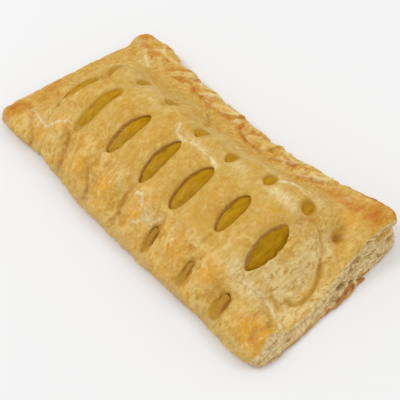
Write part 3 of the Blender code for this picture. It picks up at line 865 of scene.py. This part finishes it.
filling = copy_of("pineapple_filling", "filling")
apply_modifier(filling, "REMESH", mode="VOXEL", voxel_size=FILLING_VOXEL, use_smooth_shade=True)
apply_modifier(filling, "SMOOTH", factor=0.5, iterations=4)
jam = points_of(filling)
shreds = 0.16 * ridges_at(jam, 3.4, 11, (0.7, 2.4, 1))
shreds += 0.16 * noise_at(jam, 2.4, 12, (0.8, 2, 1))
facing_up = step(0.2, 0.6, normals_of(filling)[:, 2])
swollen = jam + normals_of(filling) * (facing_up * (shreds + SWELL))[:, None]
well_depth = np.full(len(jam), WELL_DEPTH)
for slit in MIDDLE_SLITS[1:]:
    off_x, off_y = jam[:, 0] - slit.x, jam[:, 1] - slit.y
    near = (np.abs(off_x) < 6) & (np.abs(off_y) < 1.3 * slit.half)
    end = np.clip(off_y / slit.half, 0, 1.1) ** 2.5
    well_depth[near] = (MIDDLE_DEPTH + (TIP_DEPTH - MIDDLE_DEPTH) * end)[near]
slumped = jam - np.array([0, SLUMP, 0])
in_large = step(1.1, 0.5, distance_to_slits(slumped, MIDDLE_SLITS))
in_small = step(1.8, 0.8, distance_to_slits(jam, SIDE_SLITS[:-3]))
in_well = np.maximum(in_large, in_small) * facing_up
lift = height_on(lid, jam) - well_depth + shreds - swollen[:, 2]
may_sink = distance_to_slits(jam, MIDDLE_SLITS[1:]) < 1.2
swollen[:, 2] += in_well * np.where(may_sink, lift, np.maximum(lift, 0))
move_points(filling, swollen)
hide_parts("pineapple_filling")
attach(filling, "root")
print("filling triangles:", triangles_of(filling))

# %% [markdown]
# Syrup runs to the low side of each well, and the jam is darker there: partly the syrup's colour
# and partly painted shade under the near lip of each large slit. How dark each point is goes to the
# mesh too, for the jam's material.

# %% Find the syrup and paint the shade under the lips
syrup_and_lip_shade = 0.9 * step(1, 0.3, distance_to_slits(swollen, SIDE_SLITS))
for slit in MIDDLE_SLITS:
    across = (swollen[:, 0] - slit.x - drift_of(slit, swollen)) / (0.5 * slit.baked)
    beside = (np.abs(across) < 2) & (np.abs(swollen[:, 1] - slit.y) < slit.half + 2)
    # painted shade towards the near lip of each large slit
    syrup_and_lip_shade = np.maximum(syrup_and_lip_shade, step(-0.6, 0.5, across) * beside)
store(filling, "syrup_and_lip_shade", syrup_and_lip_shade)
seen = (distance_to_slits(swollen, MIDDLE_SLITS) < -1) & (facing_up > 0.5)
jam_depth = height_on(lid, swollen) - swollen[:, 2]
print("jam below the large slits' lips, mm:", round(float(np.median(jam_depth[seen])), 2))

# %% [markdown]
# ## Writing materials as sums
#
# A material is easier to read as arithmetic than as a web of nodes. The class below wraps the
# output of a node. Adding, subtracting or multiplying it makes the Math node that does so. Every
# other node is made by one method, which takes the node's type, its settings and its inputs. A
# colour is built up as a painter would, in coats, each with its own amount.

# %% A small language for shader nodes
class Field:
    """A node's output that can be used in ordinary sums."""

    def __init__(self, recipe, socket):
        self.recipe = recipe
        self.socket = socket

    def math(self, operation, first, second):
        return self.recipe.node("ShaderNodeMath", {"operation": operation}, {0: first, 1: second})

    def __add__(self, other):
        return self.math("ADD", self, other)

    def __radd__(self, other):
        return self.math("ADD", other, self)

    def __sub__(self, other):
        return self.math("SUBTRACT", self, other)

    def __rsub__(self, other):
        return self.math("SUBTRACT", other, self)

    def __mul__(self, other):
        return self.math("MULTIPLY", self, other)

    def __rmul__(self, other):
        return self.math("MULTIPLY", other, self)

    def between(self, low, high):
        """0 at low, 1 at high, smooth between and level outside."""
        ports = {"Value": self, "From Min": low, "From Max": high}
        return self.recipe.node("ShaderNodeMapRange", {"interpolation_type": "SMOOTHSTEP"}, ports)


class Recipe:
    """One material, built node by node on top of its Principled BSDF."""

    def __init__(self, name):
        self.material = bpy.data.materials.new(name)
        self.material.use_nodes = True
        self.tree = self.material.node_tree
        self.shader = self.tree.nodes["Principled BSDF"]
        self.place = self.node("ShaderNodeTexCoord", output="Object")
        self.found = {}

    def node(self, kind, settings=None, inputs=None, output=0):
        made = self.tree.nodes.new(kind)
        for name, value in (settings or {}).items():
            setattr(made, name, value)
        for port, value in (inputs or {}).items():
            self.plug(made.inputs[port], value)
        return Field(self, made.outputs[output])

    def plug(self, port, value):
        """Sets a socket to a number or colour, or links a field to it."""
        if isinstance(value, Field):
            self.tree.links.new(value.socket, port)
        else:
            port.default_value = value

    def noise(self, size, detail=3, rough=0.55, stretch=(1, 1, 1), warp=0):
        """Noise with lumps of the given size in millimetres, from 0 to 1."""
        scale = [1 / (size * MM * s) for s in stretch]
        ports = {0: self.place, 1: scale}
        scaled = self.node("ShaderNodeVectorMath", {"operation": "MULTIPLY"}, ports)
        return self.noise_over(scaled, detail, rough, warp)

    def noise_over(self, vector, detail, rough, warp):
        ports = {"Vector": vector, "Scale": 1, "Detail": detail, "Roughness": rough}
        return self.node("ShaderNodeTexNoise", None, {**ports, "Distortion": warp})

    def wrinkles(self, size, stretch=(1, 1, 1)):
        """Thin wandering ridges, 1 on the ridge and 0 well away from it."""
        bent = self.noise(size, 4, 0.6, stretch, 1.2) - 0.5
        return (bent * bent).between(0.0016, 0)

    def rings(self, x, y, size, length):
        """Noise that is drawn out along circles about a place on the plan."""
        middle = [float(x - PLAN_MIDDLE[0]) * MM, float(y - PLAN_MIDDLE[1]) * MM]
        across, along = (
            self.node("ShaderNodeSeparateXYZ", None, {0: self.place}, axis) - middle[axis]
            for axis in (0, 1)
        )
        radius = across.math("SQRT", across * across + along * along, 0)
        angle = across.math("ARCTAN2", along, across)
        ports = {0: radius * (1 / (size * MM)), 1: angle * (12 / length)}
        return self.noise_over(self.node("ShaderNodeCombineXYZ", None, ports), 3, 0.6, 0.5)

    def stored(self, name):
        """What the mesh stores under this name."""
        if name not in self.found:
            settings = {"attribute_name": name}
            self.found[name] = self.node("ShaderNodeAttribute", settings, output="Fac")
        return self.found[name]

    def mix(self, amount, first, second):
        """The first colour where amount is 0, and the second where it is 1."""
        ports = {0: amount, 6: first, 7: second}
        return self.node("ShaderNodeMix", {"data_type": "RGBA"}, ports, 2)

    def coats(self, ground, *layers):
        """A ground with coats over it, each an amount and a colour."""
        for amount, colour in layers:
            ground = self.mix(amount, ground, colour)
        return ground

    def bump(self, strength, height, pattern):
        """A bump of the given height in millimetres."""
        ports = {"Strength": strength, "Distance": height * MM, "Height": pattern}
        return self.node("ShaderNodeBump", None, ports)

    def finish(self, **ports):
        for name, value in ports.items():
            self.plug(self.shader.inputs[name.replace("_", " ")], value)
        return self.material


def tone(red, green, blue):
    """A colour by its values on a screen, from 0 to 255."""
    parts = [c / 255 for c in (red, green, blue)]
    return [c / 12.92 if c < 0.04045 else ((c + 0.055) / 1.055) ** 2.4 for c in parts] + [1]


print("white on screen:", tone(255, 255, 255))

# %% [markdown]
# ## Baked pastry
#
# Colour and bumps should agree, as they do on real pastry, where a blister is both higher and
# paler; here the paler tops are partly the pastry's colour and partly painted highlight. So the
# noises are made once, and both the colours and the relief draw on them.

# %% Noises that the pastry shares
def pastry_noises(recipe):
    """Each noise by the mark it leaves, with its size in millimetres."""
    n = SimpleNamespace(
        broad=recipe.noise(13, 2),
        mottle=recipe.noise(3.6, 4, 0.6),
        freckle=recipe.noise(0.9, 3, 0.65),
        streak=recipe.noise(1.4, 3, 0.6, (2.4, 0.7, 1)),
        speck=recipe.noise(0.55, 2, 0.6),
        patch=recipe.noise(2, 5, 0.65, (0.8, 1.5, 1), 0.8),
        pleat=recipe.noise(1.5, 3, 0.6, (0.7, 1.8, 1), 0.8),
        vein=recipe.noise(2.2, 4, 0.6, warp=0.6) - 0.5,
        crumple=recipe.wrinkles(3.4, (0.8, 1.4, 1)),
        rings=recipe.rings(*RING_MIDDLE, 1, 2.6),
    )
    net = (n.vein * n.vein).between(0.0012, 0)
    n.crazed = net * (0.25 + recipe.stored("crackled")) * n.mottle.between(0.36, 0.6)
    return n


print("noises for the pastry ready")

# %% [markdown]
# Egg-washed pastry bakes to a warm tan gold, with darker freckles where the glaze pooled and a
# painted gold glint on its bulges. Stretched places are pale and layered, and thin corners and
# ridges scorch.
# The glaze crazes as it dries, so a net of fine lines wanders over it all.

# %% Mix the glazed skin
def glazed_skin(recipe, n):
    """The top, from its tan ground to the pale layers of its torn edges, with painted highlight and
    shade.
    """
    raised, flaky, ringed = (recipe.stored(name) for name in ("raised", "flaky", "ringed"))
    ground = recipe.mix(n.broad.between(0.35, 0.65), tone(210, 171, 77), tone(213, 163, 60))
    glazed = recipe.stored("golden") * (0.55 + 0.9 * n.mottle)
    # painted glint: a light gold where the glaze is thick on raised places
    painted_glint = glazed.between(0.3, 0.9) * n.vein.between(0, 0.12) * raised.between(0.5, 0.8)
    torn = recipe.stored("pale") * (0.4 + 1.1 * n.streak)
    layers = recipe.mix(n.pleat.between(0.36, 0.62), tone(216, 182, 106), tone(242, 220, 164))
    toast = recipe.stored("browned") * (0.6 + 0.8 * n.mottle)
    scorched = recipe.mix(n.patch.between(0.35, 0.6), tone(216, 156, 44), tone(194, 118, 14))
    return recipe.coats(
        ground,
        (n.mottle.between(0.40, 0.66) * 0.4, tone(204, 157, 64)),
        (n.patch.between(0.5, 0.68) * 0.6, tone(206, 144, 42)),
        (n.patch.between(0.47, 0.3) * 0.6, tone(222, 190, 112)),
        (n.freckle.between(0.5, 0.72) * 0.4, tone(190, 134, 40)),
        (n.freckle.between(0.48, 0.3) * 0.4, tone(224, 186, 100)),
        (n.speck.between(0.5, 0.75) * 0.2, tone(232, 196, 118)),
        # painted highlight on wrinkle tops, then painted shade in the relief's valleys and painted
        # highlight on its ridges
        (n.crumple * n.mottle.between(0.4, 0.6) * 0.5, tone(236, 202, 126)),
        (raised.between(0.45, 0.2) * 0.5, tone(196, 140, 40)),
        (raised.between(0.52, 0.8) * 0.6, tone(234, 200, 120)),
        (glazed.between(0.2, 0.9), tone(226, 164, 40)),
        # painted glint
        (painted_glint * 0.7, tone(246, 216, 134)),
        (torn.between(0.1, 0.8) * 0.8, layers),
        (flaky * n.pleat.between(0.52, 0.68) * 0.6, tone(238, 200, 112)),
        (flaky * n.pleat.between(0.46, 0.3) * 0.6, tone(182, 124, 28)),
        (ringed * n.rings.between(0.5, 0.68) * 0.5, tone(242, 222, 170)),
        (ringed * n.rings.between(0.48, 0.34) * 0.35, tone(192, 146, 58)),
        (toast.between(0.12, 0.75) * 0.9, scorched),
        (toast.between(0.7, 1.1) * 0.8, tone(188, 102, 8)),
        (n.crazed * 0.5, tone(240, 214, 156)),
        # pale torn edges, and painted highlight along the crimp ridges
        (recipe.stored("torn_cream_and_highlight") * n.mottle.between(0.25, 0.45) * 0.75, tone(242, 222, 168)),
    )


print("skin ready")

# %% [markdown]
# Inside, the dough never saw the oven's heat: the cut end is a matt cream, with painted shade in
# the gaps between its leaves, and the walls of the slits are tan and moist. Low down, the sides are
# painted darker and greyer, as painted shade, and the foot of the crust is brown from the tray.

# %% Mix the crumb and the walls, and finish the pastry
def cut_crumb(recipe, n):
    """The leaves of the cut end, with painted shade in the gaps between them and in the bubbles."""
    painted_gap_shade = recipe.noise(1.3, 3, 0.65, (1, 2.6, 0.5), 0.6)
    return recipe.coats(
        recipe.mix(n.streak.between(0.35, 0.65), tone(206, 176, 116), tone(236, 210, 156)),
        # painted shade in the gaps between the leaves
        (painted_gap_shade.between(0.48, 0.34) * 0.8, tone(150, 108, 48)),
        # painted shade in bubbles and between leaves
        (recipe.stored("hollow_shade") * 0.75, tone(150, 106, 46)),
    )


def slit_wall(recipe):
    layered = recipe.noise(1, 3, 0.6, (1.2, 4, 0.5))
    return recipe.coats(
        recipe.mix(layered.between(0.35, 0.5), tone(158, 104, 30), tone(177, 125, 50)),
        (layered.between(0.55, 0.7) * 0.6, tone(208, 166, 106)),
    )


def pastry_material():
    recipe = Recipe("baked_pastry_glazed")
    n, stored = pastry_noises(recipe), recipe.stored
    blotches = n.mottle.between(0.25, 0.6) * 0.8
    old_juice = stored("browned").between(0.2, 0.8)
    dough = recipe.coats(
        glazed_skin(recipe, n),
        # painted shade in creases, splits, bubbles and between leaves
        (stored("hollow_shade") * 0.5, tone(180, 126, 44)),
        # painted shade low on the sides
        (stored("low_side_shade") * blotches, tone(192, 160, 100)),
        (stored("inner").between(0.25, 0.75), cut_crumb(recipe, n)),
        (stored("base") * blotches, tone(182, 124, 58)),
        (stored("moist").between(0.1, 0.8), slit_wall(recipe)),
        (
            stored("juicy") * (0.7 + 0.5 * n.mottle),
            recipe.mix(old_juice, tone(186, 138, 36), tone(160, 104, 20)),
        ),
    )
    grain = n.mottle * 0.3 + n.freckle * 0.4 + n.streak * 0.3 + n.crazed * 0.3
    grain = grain + n.patch * 0.8 + n.crumple * 0.2 + stored("ringed") * n.rings * 0.8
    rough = 0.46 + 0.16 * n.freckle + 0.18 * stored("pale") + 0.25 * stored("inner")
    return recipe.finish(
        Base_Color=dough, Roughness=rough - 0.10 * stored("golden"), IOR=1.4,
        Normal=recipe.bump(0.6, 0.4, grain), Specular_IOR_Level=0.3,
        Subsurface_Weight=0.06, Subsurface_Radius=(1, 0.6, 0.25), Subsurface_Scale=0.0012,
        Coat_Weight=stored("golden") * 0.45, Coat_Roughness=0.18,
    )


crust.data.materials.append(pastry_material())
print("pastry nodes:", len(crust.data.materials[0].node_tree.nodes))

# %% [markdown]
# ## Loose flakes
#
# Puff pastry sheds thin brown flakes, and a few still cling to the lower edge of the cut end. One
# flake starts as a filled circle. Its rim is inset and roughened, the sheet is curled, given some
# thickness and rounded. Each further flake is a copy with a mesh of its own.

# %% Shape the flakes
# Each place is where the flake lies, its half length and half width, its turn and its tilt.
FLAKE_PLACES = [
    ((66.6, 11, 1.2), (3, 1.2), 80, 62), ((66.9, 6.4, 1.7), (3.4, 1.3), 96, 55),
    ((67.2, 2.4, 1.3), (2.2, 1), 86, 66), ((66.9, -1.6, 1.1), (2.4, 0.9), 98, 58),
    ((65.9, 15.6, 1.4), (1.8, 0.8), 84, 60),
]
FLAKE_THICKNESS = 0.22 * MM


def first_flake():
    """A thin curled sheet about 2 mm across, lying flat."""
    bpy.ops.mesh.primitive_circle_add(
        vertices=16, radius=1 * MM, fill_type="NGON", location=(0, 0, 0)
    )
    piece = bpy.context.object
    bpy.ops.object.mode_set(mode="EDIT")
    bpy.ops.mesh.select_all(action="SELECT")
    for rim in (0.35, 0.3):
        bpy.ops.mesh.inset(thickness=rim * MM)
    bpy.ops.object.mode_set(mode="OBJECT")
    for vertex in piece.data.vertices:
        place = vertex.co
        rough = 1 + 0.22 * noise.noise(place * 2200)
        curl = 0.25 * (place.x / MM) ** 2 + 0.18 * noise.noise(place * 1500 + Vector((5, 5, 5)))
        vertex.co = (place.x * rough, place.y * rough, curl * MM)
    return piece


def flake_copy(pattern, number, place, size, turn, tilt):
    """A copy with its own mesh, stretched, turned and put in its place."""
    piece = pattern.copy()
    piece.data = pattern.data.copy()
    piece.name = f"flake_{number}"
    bpy.context.scene.collection.objects.link(piece)
    stretched = Matrix.Diagonal((*size, 1, 1))
    turned = Matrix.Rotation(math.radians(turn), 4, "Z")
    tilted = Matrix.Rotation(math.radians(tilt), 4, "X")
    moved = Matrix.Translation((Vector(place) - Vector(PLAN_MIDDLE)) * MM)
    piece.data.transform(moved @ turned @ tilted @ stretched)
    apply_modifier(piece, "SOLIDIFY", thickness=FLAKE_THICKNESS, offset=0)
    apply_modifier(piece, "SUBSURF", levels=2)
    return piece


pattern = first_flake()
flakes = [flake_copy(pattern, number, *row) for number, row in enumerate(FLAKE_PLACES)]
bpy.data.objects.remove(pattern)
only(flakes[0])
for piece in flakes[1:]:
    piece.select_set(True)
bpy.ops.object.join()
flake_piece = bpy.context.object
flake_piece.name = "loose_flakes"
bpy.ops.object.shade_smooth()
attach(flake_piece, "root")

flake_brown = Recipe("flake_brown")
toasted = flake_brown.noise(1.6, 3).between(0.35, 0.65)
flake_tone = flake_brown.mix(toasted, tone(150, 88, 24), tone(190, 128, 56))
flake_piece.data.materials.append(
    flake_brown.finish(Base_Color=flake_tone, Roughness=0.6, Specular_IOR_Level=0.3)
)
print("flakes:", len(FLAKE_PLACES), "triangles:", triangles_of(flake_piece))

# %% [markdown]
# ## Pineapple jam
#
# Cooked pineapple is an olive gold, and its syrup lets light a little way in, so the shreds glow
# where they are thin. That is subsurface scattering, with a wet, smooth surface over it.

# %% Mix the filling material
def jam_material():
    recipe = Recipe("pineapple_jam_wet")
    cloud = recipe.noise(5, 3)
    shred = recipe.noise(1.8, 3, 0.6, (0.7, 2.6, 1))
    fruit = recipe.coats(
        recipe.mix(cloud.between(0.35, 0.65), tone(186, 138, 6), tone(194, 146, 14)),
        (shred.between(0.5, 0.68) * 0.55, tone(210, 166, 46)),
        (shred.between(0.48, 0.28) * 0.7, tone(158, 106, 2)),
        # darker syrup, and painted shade under the near lips
        (recipe.stored("syrup_and_lip_shade") * 0.38, tone(164, 112, 2)),
    )
    return recipe.finish(
        Base_Color=fruit, Roughness=0.3 + 0.15 * shred, IOR=1.4, Specular_IOR_Level=0.12,
        Normal=recipe.bump(0.4, 0.3, shred + 0.4 * cloud),
        Subsurface_Weight=0.2, Subsurface_Radius=(1, 0.65, 0.12), Subsurface_Scale=0.002,
    )


filling.data.materials.append(jam_material())
print("jam nodes:", len(filling.data.materials[0].node_tree.nodes))

# %% [markdown]
# ## Floor and light
#
# A pale floor and a pale sky fill every shadow, as a light tent does. One large soft lamp from the
# left models the dome, and a second from the far right catches the crimps.

# %% Set the stage
FLOOR_SIZE = 6
FLOOR_GAP = 0.05 * MM  # so that the floor and the underside don't flicker
SKY_STRENGTH = 0.74
LAMP_DISTANCE = 1.2

bpy.ops.mesh.primitive_plane_add(size=FLOOR_SIZE, location=(0, 0, -FLOOR_GAP))
floor = bpy.context.object
floor.name = "floor"
paper = Recipe("pale_floor")
floor.data.materials.append(
    paper.finish(Base_Color=tone(244, 244, 244), Roughness=0.95, Specular_IOR_Level=0.1)
)

world = bpy.data.worlds.new("soft_sky")
world.use_nodes = True
sky = world.node_tree.nodes["Background"].inputs
sky["Color"].default_value = (1, 1, 1, 1)
sky["Strength"].default_value = SKY_STRENGTH
bpy.context.scene.world = world


def soft_lamp(name, azimuth, elevation, size, power):
    """A square lamp on the sky, aimed at the pie."""
    direction = towards(azimuth, elevation)
    bpy.ops.object.light_add(type="AREA", location=LAMP_DISTANCE * direction)
    lamp = bpy.context.object
    lamp.name = name
    look_back(lamp, direction)
    lamp.data.size = size
    lamp.data.energy = power


soft_lamp("key_lamp", -52, 50, 0.35, 3.6)
soft_lamp("rim_lamp", 140, 45, 0.4, 1.6)
bpy.context.scene.view_settings.view_transform = "Standard"
